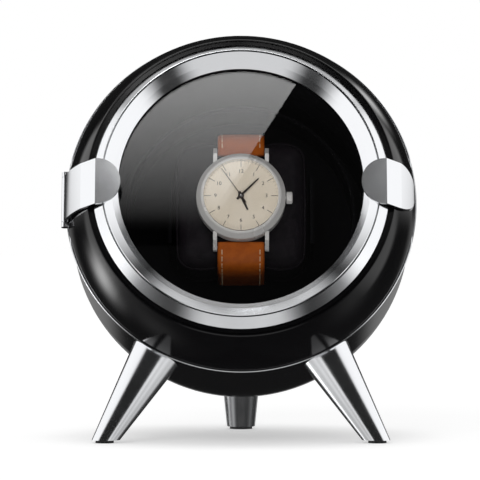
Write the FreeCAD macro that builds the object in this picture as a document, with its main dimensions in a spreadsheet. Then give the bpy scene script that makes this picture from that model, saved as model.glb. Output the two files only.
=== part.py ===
import FreeCAD, Part
import math
import os
import types

import Sketcher

# A single watch winder: a capsule-shaped case on three tapered legs, its axis tilted up towards the
# front, with a round glass door on a side hinge, a motor-driven rotor, and a watch on its cushion.
#
# Frame: millimetres, Z up, the front faces -Y, the origin is on the floor under the middle of the case.
# Tilted parts are drawn in the case frame: X to the right, Y up along the ring plane, Z forward along
# the rotor axis, with Z = 0 in the plane of the chrome trim ring.

Vector = FreeCAD.Vector
LEFT = 1
RIGHT = -1

SIZES = {
    # Case frame
    "tilt_angle": 17.1,
    "ring_y": -32.2,
    "ring_height": 102.0,
    # Running and standing clearances
    "run_gap": 0.05,
    "stand_gap": 0.3,
    # Case shells and trim
    "case_radius": 74.0,
    "case_wall": 2.5,
    "barrel_length": 38.2,
    "trim_radius": 75.45,
    "trim_half": 1.1,
    "trim_depth": 4.4,
    "trim_crown": 1.9,
    # Front bezel
    "bezel_rear_radius": 74.9,
    "bezel_rear": 1.3,
    "bezel_edge_radius": 66.0,
    "bezel_edge": 23.6,
    "bezel_bulge": 60.0,
    "bezel_face": 24.15,
    "bezel_face_radius": 65.6,
    "bezel_groove": 0.5,
    "mouth_radius": 60.8,
    "landing_radius": 54.5,
    "landing_face": 20.0,
    "landing_back": 17.5,
    "bezel_inner_front": 66.6,
    "bezel_inner_rear": 72.4,
    # Door
    "door_radius": 62.9,
    "door_back": 24.35,
    "door_edge": 24.9,
    "crest_radius": 58.9,
    "crest_height": 30.0,
    "door_boss_radius": 56.5,
    "door_boss_back": 21.0,
    "door_floor": 25.95,
    "glass_seat_radius": 55.6,
    "facet_radius": 54.7,
    "facet_height": 27.4,
    "lip_height": 25.0,
    "glass_edge_radius": 52.1,
    "glass_front": 23.3,
    "glass_radius": 55.3,
    "glass_thickness": 1.6,
    "gasket_inner": 53.4,
    "seal_inner": 54.9,
    "seal_outer": 56.4,
    "seal_thickness": 0.8,
    # Door straps
    "band_width": 20.0,
    "band_thickness": 1.3,
    "band_lift": 0.6,
    "tab_tip_radius": 50.8,
    "tab_bend_radius": 61.2,
    "band_shoulder": 66.9,
    "band_shoulder_height": 23.28,
    "pull_end": 11.5,
    "pull_end_radius": 73.44,
    "pull_corner": 7.0,
    "strap_screw_offset": 60.0,
    "strap_screw_radius": 0.8,
    # Hinge and latch
    "hinge_offset": 75.4,
    "hinge_forward": 4.0,
    "knuckle_radius": 1.45,
    "pin_radius": 0.75,
    "hinge_half_width": 12.3,
    "hinge_plate_outer": 73.2,
    "hinge_plate_inner": 71.9,
    "magnet_radius": 1.7,
    "magnet_offset": 58.7,
    "magnet_height": 3.0,
    "strike_thickness": 1.0,
    # Chamber
    "liner_radius": 57.4,
    "liner_wall": 1.4,
    "deck_face": -44.0,
    "deck_thickness": 3.0,
    "deck_radius": 67.5,
    "post_radius": 3.2,
    "post_circle": 63.0,
    "post_screw_radius": 1.5,
    "post_screw_head": 2.8,
    # Rotor, bearings and gears
    "shaft_radius": 4.0,
    "shaft_rear": -60.5,
    "bearing_radius": 8.0,
    "bearing_width": 4.0,
    "hub_radius": 11.0,
    "hub_rear": -58.0,
    "gear_module": 1.0,
    "wheel_teeth": 64,
    "pinion_teeth": 16,
    "gear_face": 2.8,
    "gear_rear": -43.2,
    "drum_radius": 50.0,
    "drum_wall": 1.5,
    "drum_rear": -39.9,
    "drum_floor": -37.9,
    "drum_front": -19.0,
    "holder_gap": 0.6,
    "holder_wall": 1.5,
    "holder_half_height": 15.0,
    "holder_floor": 1.7,
    "holder_front": -11.0,
    "clip_radius": 6.2,
    # Motor
    "gearbox_radius": 14.0,
    "gearbox_length": 15.0,
    "motor_radius": 11.0,
    "motor_length": 20.0,
    "spindle_radius": 1.5,
    "nose_radius": 4.2,
    "board_lift": 3.0,
    # Rear
    "opening_radius": 30.0,
    "ledge_radius": 23.5,
    "ledge_rear": -102.0,
    "ledge_thickness": 2.0,
    "cover_radius": 29.6,
    "cover_thickness": 2.0,
    "standoff_radius": 3.0,
    "standoff_circle": 26.8,
    "cover_screw_radius": 1.3,
    "jack_drop": -14.0,
    "jack_radius": 5.4,
    "control_rise": 6.0,
    "knob_offset": -11.5,
    "knob_radius": 6.5,
    "knob_length": 7.0,
    "rocker_offset": 11.0,
    "rocker_half_width": 6.2,
    "rocker_half_height": 4.2,
    # Legs
    "leg_plane": -12.8,
    "leg_spread": 29.7,
    "leg_start": 70.0,
    "leg_length": 54.0,
    "leg_top_radius": 11.16,
    "leg_toe_radius": 4.22,
    "rear_leg_lean": 53.07,
    "rear_leg_start": 88.0,
    "rear_leg_length": 42.0,
    "rear_leg_top_radius": 8.8,
    "rear_leg_toe_radius": 5.6,
    "pad_height": 1.2,
    "pad_radius": 3.9,
    "bolt_radius": 2.5,
    "bolt_head_radius": 4.5,
    "bolt_length": 26.0,
    # Cushion
    "cushion_half_width": 29.3,
    "cushion_half_height": 30.4,
    "cushion_front": 1.6,
    "cushion_rear": -31.0,
    "cushion_round": 8.5,
    "groove_half_width": 10.5,
    # Watch
    "case_back": 2.0,
    "watch_radius": 19.1,
    "watch_rise": 4.0,
    "watch_shoulder": 9.2,
    "watch_rim": 11.3,
    "dial_radius": 15.6,
    "dial_face": 9.4,
    "dial_thickness": 0.5,
    "crystal_radius": 15.9,
    "crystal_rear": 10.75,
    "crystal_thickness": 1.2,
    "lug_inner": 10.25,
    "lug_outer": 11.9,
    "lug_tip": 22.9,
    "bar_offset": 21.6,
    "bar_height": 4.4,
    "bar_radius": 0.7,
    "crown_radius": 2.6,
    "crown_start": 19.35,
    "crown_length": 2.7,
    "crown_height": 6.6,
    "stem_radius": 0.6,
    "strap_width": 20.0,
    "strap_thickness": 2.1,
    "strap_fall": 28.0,
    "strap_rear": -29.3,
    "strap_round": 8.7,
    # Hands
    "post_pin_radius": 0.5,
    "hour_level": 9.62,
    "minute_level": 9.95,
    "second_level": 10.3,
    "hand_thickness": 0.16,
    "hour_length": 7.0,
    "minute_length": 10.6,
    "second_length": 14.6,
}

doc = FreeCAD.newDocument("watch_winder")
sheet = doc.addObject("Spreadsheet::Sheet", "Dims")
for row, (alias, amount) in enumerate(SIZES.items(), start=1):
    sheet.set(f"A{row}", alias)
    sheet.set(f"B{row}", str(amount))
    sheet.setAlias(f"B{row}", alias)
doc.recompute()


class Size:
    """A number together with the sheet expression that gives it."""

    def __init__(self, value, text):
        self.value = value
        self.text = text

    def __add__(self, other):
        other = as_size(other)
        return Size(self.value + other.value, f"({self.text} + {other.text})")

    def __sub__(self, other):
        other = as_size(other)
        return Size(self.value - other.value, f"({self.text} - {other.text})")

    def __mul__(self, other):
        other = as_size(other)
        return Size(self.value * other.value, f"({self.text} * {other.text})")

    def __truediv__(self, other):
        other = as_size(other)
        return Size(self.value / other.value, f"({self.text} / {other.text})")

    def __neg__(self):
        return Size(-self.value, f"(0 - {self.text})")


def as_size(amount):
    if isinstance(amount, Size):
        return amount
    return Size(float(amount), f"({amount})")


d = types.SimpleNamespace(**{name: Size(float(SIZES[name]), "Dims." + name) for name in SIZES})


# ---------------------------------------------------------------- placement and binding

def vector_text(point):
    x, y, z = (as_size(amount).text for amount in point)
    return f"create(<<vector>>; {x}; {y}; {z})"


def placement_text(point=(0, 0, 0), axis=(0, 0, 1), angle=0):
    turn = f"create(<<rotation>>; {vector_text(axis)}; {as_size(angle).text})"
    return f"create(<<placement>>; {vector_text(point)}; {turn})"


CASE_FRAME = placement_text((0, d.ring_y, d.ring_height), (1, 0, 0), as_size(90) - d.tilt_angle)


def bind(item, **amounts):
    for name, amount in amounts.items():
        item.setExpression(name, as_size(amount).text)


def place(item, *steps):
    item.setExpression("Placement", " * ".join(steps))


# ---------------------------------------------------------------- sketches and bodies

def pin_point(sketch, edge, end, x, y):
    """Fix one sketch point at two sheet-driven coordinates."""
    for amount, kind, axis in ((x, "DistanceX", -2), (y, "DistanceY", -1)):
        if abs(amount.value) < 1e-9:
            sketch.addConstraint(Sketcher.Constraint("PointOnObject", edge, end, axis))
        else:
            number = sketch.addConstraint(Sketcher.Constraint(kind, -1, 1, edge, end, amount.value))
            sketch.setExpression(f"Constraints[{number}]", amount.text)


def fix_radius(sketch, edge, radius):
    number = sketch.addConstraint(Sketcher.Constraint("Radius", edge, radius.value))
    sketch.setExpression(f"Constraints[{number}]", radius.text)


def arc_between(start, end, radius, turn):
    """Minor arc from start to end; turn says whether the path bends left or right."""
    chord = end - start
    rise = math.sqrt(radius ** 2 - (chord.Length / 2) ** 2)
    normal = Vector(-chord.y, chord.x, 0).normalize()
    centre = (start + end) * 0.5 + normal * (rise * turn)
    first, last = (start, end) if turn == LEFT else (end, start)
    angles = [math.atan2(point.y - centre.y, point.x - centre.x) for point in (first, last)]
    return Part.ArcOfCircle(Part.Circle(centre, Vector(0, 0, 1), radius), angles[0], angles[1])


def outline(body, name, plane, path, level=0):
    """Closed outline of (x, y) corners; (x, y, radius, turn) starts an arc to the next corner."""
    sketch = body.newObject("Sketcher::SketchObject", name)
    origin = next(item for item in body.Origin.OriginFeatures if item.Role == plane)
    sketch.AttachmentSupport = [(origin, "")]
    sketch.MapMode = "FlatFace"
    sketch.setExpression("AttachmentOffset.Base.z", as_size(level).text)
    corners = [(as_size(step[0]), as_size(step[1])) for step in path]
    points = [Vector(x.value, y.value, 0) for x, y in corners]
    ends = []
    for number, step in enumerate(path):
        start, end = points[number], points[(number + 1) % len(path)]
        if len(step) == 4:
            sketch.addGeometry(arc_between(start, end, as_size(step[2]).value, step[3]))
            fix_radius(sketch, number, as_size(step[2]))
            ends.append((1, 2) if step[3] == LEFT else (2, 1))
        else:
            sketch.addGeometry(Part.LineSegment(start, end))
            ends.append((1, 2))
    for number, (x, y) in enumerate(corners):
        before = (number - 1) % len(path)
        joint = Sketcher.Constraint("Coincident", before, ends[before][1], number, ends[number][0])
        sketch.addConstraint(joint)
        pin_point(sketch, number, ends[number][0], x, y)
    return sketch


def add_circle(sketch, x, y, radius):
    x, y, radius = as_size(x), as_size(y), as_size(radius)
    circle = Part.Circle(Vector(x.value, y.value, 0), Vector(0, 0, 1), radius.value)
    number = sketch.addGeometry(circle)
    pin_point(sketch, number, 3, x, y)
    fix_radius(sketch, number, radius)


def turned(name, path):
    """Body of revolution about Z from a (radius, height) outline."""
    body = doc.addObject("PartDesign::Body", name)
    sketch = outline(body, name + "_profile", "XZ_Plane", path)
    turn = body.newObject("PartDesign::Revolution", name + "_turn")
    turn.Profile = sketch
    turn.ReferenceAxis = (sketch, ["V_Axis"])
    turn.Angle = 360
    return body


def washer(name, inner, outer, low, high):
    return turned(name, [(inner, low), (outer, low), (outer, high), (inner, high)])


def pad_sketch(body, sketch, length, symmetric=False):
    pad = body.newObject("PartDesign::Pad", sketch.Name + "_pad")
    pad.Profile = sketch
    pad.setExpression("Length", as_size(length).text)
    if symmetric:
        pad.Midplane = True
    body.Tip = pad
    return pad


def padded(name, plane, path, length, level=0, holes=(), symmetric=False):
    body = doc.addObject("PartDesign::Body", name)
    sketch = outline(body, name + "_outline", plane, path, level)
    for x, y, radius in holes:
        add_circle(sketch, x, y, radius)
    pad_sketch(body, sketch, length, symmetric)
    return body


def box_outline(x_low, x_high, y_low, y_high):
    return [(x_low, y_low), (x_high, y_low), (x_high, y_high), (x_low, y_high)]


# ---------------------------------------------------------------- primitives and booleans

def cylinder(name, radius, length, *steps):
    rod = doc.addObject("Part::Cylinder", name)
    bind(rod, Radius=radius, Height=length)
    place(rod, *(steps or [placement_text()]))
    return rod


def block(name, corner, extent, *steps):
    brick = doc.addObject("Part::Box", name)
    bind(brick, Length=extent[0], Width=extent[1], Height=extent[2])
    place(brick, *steps, placement_text(corner))
    return brick


def fused(name, items):
    whole = doc.addObject("Part::MultiFuse", name)
    whole.Shapes = items
    return whole


def grouped(name, items):
    group = doc.addObject("Part::Compound", name)
    group.Links = items
    return group


def cut(name, base, tool):
    result = doc.addObject("Part::Cut", name)
    result.Base = base
    result.Tool = tool
    return result


def common(name, base, tool):
    result = doc.addObject("Part::Common", name)
    result.Base = base
    result.Tool = tool
    return result


sub_parts = []


def keep(item, label, *steps):
    """Name a finished sub-part and set where it sits in the world."""
    item.Label = label
    place(item, *(steps or [CASE_FRAME]))
    sub_parts.append(item)


def ring_of(name, count, circle, first_angle, make):
    """Copies of one small shape spaced evenly round the case axis."""
    items = []
    for number in range(count):
        angle = first_angle + 360 * number / count
        step = placement_text((0, 0, 0), (0, 0, 1), angle)
        offset = placement_text((circle, 0, 0))
        items.append(make(f"{name}_{number + 1}", step, offset))
    return items


def screw(name, radius, head_radius, low, high, head_low, head_high, *steps):
    """Shank and head along Z between given heights."""
    shank = cylinder(name + "_shank", radius, high - low, *steps, placement_text((0, 0, low)))
    head = cylinder(name + "_head", head_radius, head_high - head_low, *steps,
                    placement_text((0, 0, head_low)))
    return fused(name, [shank, head])


# ---------------------------------------------------------------- case shells

def build_front_bezel():
    groove_outer = d.bezel_face_radius - d.bezel_groove
    groove_inner = groove_outer - d.bezel_groove
    groove_floor = d.bezel_face - d.bezel_groove
    skin = turned("bezel_blank", [
        (d.bezel_rear_radius, d.bezel_rear, d.bezel_bulge, LEFT),
        (d.bezel_edge_radius, d.bezel_edge),
        (d.bezel_face_radius, d.bezel_face),
        (groove_outer, d.bezel_face),
        (groove_outer, groove_floor),
        (groove_inner, groove_floor),
        (groove_inner, d.bezel_face),
        (d.mouth_radius, d.bezel_face),
        (d.mouth_radius, d.landing_face),
        (d.landing_radius, d.landing_face),
        (d.landing_radius, d.landing_back),
        (d.bezel_inner_front, d.landing_back, d.bezel_bulge - d.case_wall, RIGHT),
        (d.bezel_inner_rear, d.bezel_rear),
    ])
    pocket_half = d.hinge_half_width + d.stand_gap
    pocket = block("hinge_pocket", (-d.case_radius - 6, -pocket_half, d.bezel_rear + 0.4),
                   (as_size(9.0), pocket_half * 2, d.hinge_forward + d.knuckle_radius - d.bezel_rear))
    magnet_hole = cylinder("magnet_socket", d.magnet_radius + d.stand_gap, 1.2,
                           placement_text((d.magnet_offset, 0, d.landing_face - 1.2)))
    keep(cut("bezel_body", skin, fused("bezel_tools", [pocket, magnet_hole])), "front_bezel")


def build_trim_ring():
    inner = d.trim_radius - d.trim_depth
    edge = d.trim_radius - 0.35
    ring = turned("trim_body", [
        (inner, -d.trim_half),
        (edge, -d.trim_half, d.trim_crown, LEFT),
        (edge, d.trim_half),
        (inner, d.trim_half),
    ])
    keep(ring, "trim_ring")


def leg_steps(side):
    """World placement of a leg axis whose Z runs from the case axis to the foot."""
    start = placement_text((0, 0, d.leg_plane))
    if side == 0:
        return [CASE_FRAME, start, placement_text((0, 0, 0), (1, 0, 0), as_size(90) + d.rear_leg_lean)]
    return [CASE_FRAME, start, placement_text((0, 0, 0), (0, 0, 1), d.leg_spread * side),
            placement_text((0, 0, 0), (1, 0, 0), 90)]


def build_rear_shell():
    """Barrel closed by a hemisphere, with a round service opening and ledge at its rear pole."""
    inner = d.case_radius - d.case_wall
    front = -d.trim_half - 0.15
    centre = -d.barrel_length
    rim_drop = math.sqrt(d.case_radius.value ** 2 - d.opening_radius.value ** 2)
    rim = Size(centre.value - rim_drop,
               f"(0 - Dims.barrel_length - sqrt(Dims.case_radius ^ 2 - Dims.opening_radius ^ 2))")
    ledge_front = d.ledge_rear + d.ledge_thickness
    reach = math.sqrt(inner.value ** 2 - (ledge_front - centre).value ** 2)
    wall_radius = Size(reach, f"sqrt({inner.text} ^ 2 - ({ledge_front.text} - {centre.text}) ^ 2)")
    blank = turned("shell_blank", [
        (d.case_radius, front),
        (inner, front),
        (inner, centre, inner, RIGHT),
        (wall_radius, ledge_front),
        (d.ledge_radius, ledge_front),
        (d.ledge_radius, d.ledge_rear),
        (d.opening_radius, d.ledge_rear),
        (d.opening_radius, rim, d.case_radius, LEFT),
        (d.case_radius, centre),
    ])
    tools = []
    for side, name in ((-1, "left"), (1, "right"), (0, "rear")):
        # Holes for the leg bolts, drawn in the untilted case frame.
        steps = leg_steps(side)[1:]
        tools.append(cylinder(f"bolt_hole_{name}", d.bolt_radius + d.stand_gap, 60, *steps,
                              placement_text((0, 0, d.leg_start - 10))))
    for number in range(4):
        steps = [placement_text((0, 0, 0), (0, 0, 1), 45 + 90 * number),
                 placement_text((d.standoff_circle, 0, d.ledge_rear - 1))]
        tools.append(cylinder(f"ledge_hole_{number + 1}", d.cover_screw_radius + d.stand_gap,
                              d.ledge_thickness + 2, *steps))
    keep(cut("shell_body", blank, grouped("shell_holes", tools)), "rear_shell")


def build_liner():
    keep(washer("liner_body", d.liner_radius - d.liner_wall, d.liner_radius,
                d.deck_face, d.landing_back), "chamber_liner")


# ---------------------------------------------------------------- deck, posts and rear cover

def motor_offset():
    return (d.wheel_teeth + d.pinion_teeth) * d.gear_module / 2


def build_deck():
    rear = d.deck_face - d.deck_thickness
    bore = d.bearing_radius + d.run_gap
    lip = d.bearing_radius - 1.5
    plate = turned("deck_blank", [
        (bore, d.hub_rear),
        (d.hub_radius, d.hub_rear),
        (d.hub_radius, rear),
        (d.deck_radius, rear),
        (d.deck_radius, d.deck_face),
        (lip, d.deck_face),
        (lip, d.deck_face - 1),
        (bore, d.deck_face - 1),
    ])
    tools = [cylinder("nose_hole", d.nose_radius + d.stand_gap, 20,
                      placement_text((0, motor_offset(), rear - 5)))]
    for number in range(4):
        turn = placement_text((0, 0, 0), (0, 0, 1), 45 + 90 * number)
        tools.append(cylinder(f"post_hole_{number + 1}", d.post_screw_radius + d.stand_gap, 20, turn,
                              placement_text((d.post_circle, 0, rear - 5))))
    for name, side in (("left", -1), ("right", 1)):
        tools.append(cylinder(f"motor_screw_hole_{name}", as_size(1.7), 20,
                              placement_text(((d.gearbox_radius + 3) * side, motor_offset(),
                                              rear - 5))))
    pillars = []
    for x in (-22, 22):
        for y in (-48, -28):
            pillars.append(cylinder(f"board_pillar_{len(pillars) + 1}", as_size(2), d.board_lift + 1,
                                    placement_text((x, y, rear - d.board_lift))))
    solid = fused("deck_solid", [plate] + pillars)
    keep(cut("deck_body", solid, grouped("deck_holes", tools)), "rotor_deck")


def build_posts():
    rear = d.deck_face - d.deck_thickness
    length = d.landing_back - d.deck_face
    hole_depth = as_size(10)

    def post(name, turn, offset):
        rod = cylinder(name + "_rod", d.post_radius, length, turn, offset,
                       placement_text((0, 0, d.deck_face)))
        bore = cylinder(name + "_bore", d.post_screw_radius + d.stand_gap, hole_depth, turn, offset,
                        placement_text((0, 0, d.deck_face)))
        return cut(name, rod, bore)

    def post_screw(name, turn, offset):
        return screw(name, d.post_screw_radius, d.post_screw_head, rear - 0.1,
                     d.deck_face + hole_depth - 1, rear - 2.1, rear, turn, offset)

    keep(grouped("front_post_set", ring_of("front_post", 4, d.post_circle, 45, post)), "front_posts")
    keep(grouped("post_screw_set", ring_of("post_screw", 4, d.post_circle, 45, post_screw)),
         "post_screws")


def build_standoffs():
    front = d.deck_face - d.deck_thickness
    rear = d.ledge_rear + d.ledge_thickness
    hole_depth = as_size(8)

    def standoff(name, turn, offset):
        rod = cylinder(name + "_rod", d.standoff_radius, front - rear, turn, offset,
                       placement_text((0, 0, rear)))
        bore = cylinder(name + "_bore", d.cover_screw_radius + d.stand_gap, hole_depth, turn, offset,
                        placement_text((0, 0, rear)))
        return cut(name, rod, bore)

    def cover_screw(name, turn, offset):
        cover_rear = d.ledge_rear - d.cover_thickness
        return screw(name, d.cover_screw_radius, 2.4, cover_rear - 0.1, rear + hole_depth - 1,
                     cover_rear - 1.3, cover_rear, turn, offset)

    keep(grouped("standoff_set", ring_of("standoff", 4, d.standoff_circle, 45, standoff)),
         "rear_standoffs")
    keep(grouped("cover_screw_set", ring_of("cover_screw", 4, d.standoff_circle, 45, cover_screw)),
         "cover_screws")


def build_rear_cover():
    """Flat cover disc with openings for the power socket, the programme knob and the rocker."""
    rear = d.ledge_rear - d.cover_thickness
    disc = turned("cover_blank", [(0, rear), (d.cover_radius, rear), (d.cover_radius, d.ledge_rear),
                                  (0, d.ledge_rear)])
    tools = [
        cylinder("jack_hole", d.jack_radius + d.stand_gap, 10,
                 placement_text((0, d.jack_drop, rear - 4))),
        cylinder("knob_hole", as_size(3.3), 10,
                 placement_text((d.knob_offset, d.control_rise, rear - 4))),
        block("rocker_window",
              (d.rocker_offset - d.rocker_half_width - d.stand_gap,
               d.control_rise - d.rocker_half_height - d.stand_gap, rear - 4),
              ((d.rocker_half_width + d.stand_gap) * 2, (d.rocker_half_height + d.stand_gap) * 2, 10)),
    ]
    for number in range(4):
        turn = placement_text((0, 0, 0), (0, 0, 1), 45 + 90 * number)
        tools.append(cylinder(f"cover_hole_{number + 1}", d.cover_screw_radius + d.stand_gap, 10, turn,
                              placement_text((d.standoff_circle, 0, rear - 4))))
    keep(cut("cover_body", disc, grouped("cover_holes", tools)), "rear_cover")


def build_rear_controls():
    rear = d.ledge_rear - d.cover_thickness
    inside = d.ledge_rear

    socket_depth = as_size(9)
    shell = turned("jack_shell", [
        (3.1, rear - 1.2), (d.jack_radius + 1.4, rear - 1.2), (d.jack_radius + 1.4, rear),
        (d.jack_radius, rear), (d.jack_radius, inside + socket_depth), (0, inside + socket_depth),
        (0, inside + socket_depth - 2), (3.1, inside + socket_depth - 2),
    ])
    contact = cylinder("jack_contact", as_size(0.9), as_size(9.0),
                       placement_text((0, 0, inside + socket_depth - 10)))
    keep(fused("jack_body", [shell, contact]), "power_socket", CASE_FRAME,
         placement_text((0, d.jack_drop, 0)))

    spot = placement_text((d.knob_offset, d.control_rise, 0))
    knob = turned("knob_body", [
        (0, rear - d.knob_length), (d.knob_radius - 1, rear - d.knob_length),
        (d.knob_radius, rear - d.knob_length + 1), (d.knob_radius, rear - d.stand_gap),
        (2.9, rear - d.stand_gap), (2.9, inside + 3), (0, inside + 3),
    ])
    mark = block("knob_mark", (as_size(-0.5), as_size(1.5), rear - d.knob_length - 0.6),
                 (as_size(1.0), d.knob_radius - 2.5, as_size(1.0)))
    keep(fused("knob_set", [knob, mark]), "mode_knob", CASE_FRAME, spot)

    selector = turned("selector_body", [
        (2.95, inside), (8.0, inside), (8.0, inside + 8), (0, inside + 8), (0, inside + 3.2),
        (2.95, inside + 3.2),
    ])
    keep(selector, "mode_selector", CASE_FRAME, spot)

    half_width = d.rocker_half_width
    half_height = d.rocker_half_height
    frame = block("rocker_frame_block", (-half_width, -half_height, rear),
                  (half_width * 2, half_height * 2, as_size(9.0)))
    flange = block("rocker_flange", (-half_width - 1, -half_height - 1, rear - 0.8),
                   (half_width * 2 + 2, half_height * 2 + 2, as_size(0.8)))
    well = block("rocker_well", (-half_width + 1, -half_height + 1, rear - 2),
                 (half_width * 2 - 2, half_height * 2 - 2, as_size(8.0)))
    spot = placement_text((d.rocker_offset, d.control_rise, 0))
    keep(cut("rocker_frame", fused("rocker_solid", [frame, flange]), well), "rocker_housing",
         CASE_FRAME, spot)

    reach = half_width - 1.6
    cap = padded("rocker_cap_body", "XZ_Plane", [
        (-reach, rear - 1.9), (0, rear - 1.2), (reach, rear - 1.9), (reach, rear + 1.6),
        (0, rear + 3.4), (-reach, rear + 1.6),
    ], half_height * 2 - 2.6, symmetric=True)
    keep(cap, "direction_rocker", CASE_FRAME, spot)


# ---------------------------------------------------------------- rotor, gears and motor

def toothed_wheel(name, teeth, bore, low, tip_half, root_half, phase):
    """Spur gear: a root disc and one straight-flanked tooth repeated round the axis."""
    pitch = teeth * d.gear_module / 2
    root = pitch - d.gear_module * 1.15
    tip = pitch + d.gear_module * 0.9
    body = doc.addObject("PartDesign::Body", name)
    disc = outline(body, name + "_disc", "XY_Plane",
                   [(root * -1, 0, root, LEFT), (0, root * -1, root, LEFT), (root, 0, root, LEFT),
                    (0, root, root, LEFT)], low)
    add_circle(disc, 0, 0, bore)
    pad_sketch(body, disc, d.gear_face)
    sunk = root - 0.3
    tooth = outline(body, name + "_tooth", "XY_Plane",
                    [(-root_half, sunk), (root_half, sunk), (root_half, root), (tip_half, tip),
                     (-tip_half, tip), (-root_half, root)], low)
    tooth_pad = pad_sketch(body, tooth, d.gear_face)
    pattern = body.newObject("PartDesign::PolarPattern", name + "_teeth")
    pattern.Originals = [tooth_pad]
    pattern.Axis = (tooth, ["N_Axis"])
    pattern.Angle = 360
    pattern.setExpression("Occurrences", as_size(teeth).text)
    body.Tip = pattern
    return body, placement_text((0, 0, 0), (0, 0, 1), phase)


def build_rotor():
    shaft = turned("shaft_body", [
        (0, d.shaft_rear), (d.shaft_radius, d.shaft_rear), (d.shaft_radius, d.shaft_rear + 1.0),
        (d.shaft_radius - 0.6, d.shaft_rear + 1.0), (d.shaft_radius - 0.6, d.shaft_rear + 1.9),
        (d.shaft_radius, d.shaft_rear + 1.9), (d.shaft_radius, d.drum_floor),
        (7.5, d.drum_floor), (7.5, d.drum_floor + 1.2), (0, d.drum_floor + 1.2),
    ])
    keep(shaft, "rotor_shaft")
    clip = washer("clip_body", d.shaft_radius - 0.5, d.clip_radius, d.shaft_rear + 1.1,
                  d.shaft_rear + 1.8)
    keep(clip, "shaft_clip")
    for label, rear in (("front_bearing", d.deck_face - 1 - d.bearing_width),
                        ("rear_bearing", d.hub_rear + 0.5)):
        race = turned(label + "_body", [
            (d.shaft_radius + d.run_gap, rear), (d.bearing_radius, rear),
            (d.bearing_radius, rear + d.bearing_width),
            (d.shaft_radius + d.run_gap, rear + d.bearing_width),
        ])
        keep(race, label)
    drum = turned("drum_body", [
        (d.shaft_radius + d.run_gap, d.drum_rear), (d.drum_radius - 1, d.drum_rear),
        (d.drum_radius, d.drum_rear + 1), (d.drum_radius, d.drum_front),
        (d.drum_radius - d.drum_wall, d.drum_front), (d.drum_radius - d.drum_wall, d.drum_floor),
        (d.shaft_radius + d.run_gap, d.drum_floor),
    ])
    keep(drum, "rotor_drum")

    inner = d.cushion_half_width + d.holder_gap
    outer = inner + d.holder_wall
    base = block("holder_base", (-outer, -d.holder_half_height, d.drum_floor),
                 (outer * 2, d.holder_half_height * 2, d.holder_floor))
    cheeks = []
    for name, side in (("left", -outer), ("right", inner)):
        cheeks.append(block(f"holder_cheek_{name}", (side, -d.holder_half_height, d.drum_floor),
                            (d.holder_wall, d.holder_half_height * 2, d.holder_front - d.drum_floor)))
    relief = cylinder("holder_relief", as_size(7.8), d.holder_floor + 2,
                      placement_text((0, 0, d.drum_floor - 1)))
    keep(cut("holder_body", fused("holder_solid", [base] + cheeks), relief), "cushion_holder")


def build_gears():
    wheel, phase = toothed_wheel("wheel_body", d.wheel_teeth, d.shaft_radius + d.run_gap, d.gear_rear,
                                 as_size(0.32), as_size(1.0), 0)
    keep(wheel, "drive_wheel", CASE_FRAME, phase)
    half_tooth = as_size(180) / d.pinion_teeth
    pinion, phase = toothed_wheel("pinion_body", d.pinion_teeth, d.spindle_radius + d.run_gap,
                                  d.gear_rear, as_size(0.3), as_size(0.8), half_tooth)
    keep(pinion, "motor_pinion", CASE_FRAME, placement_text((0, motor_offset(), 0)), phase)


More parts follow.
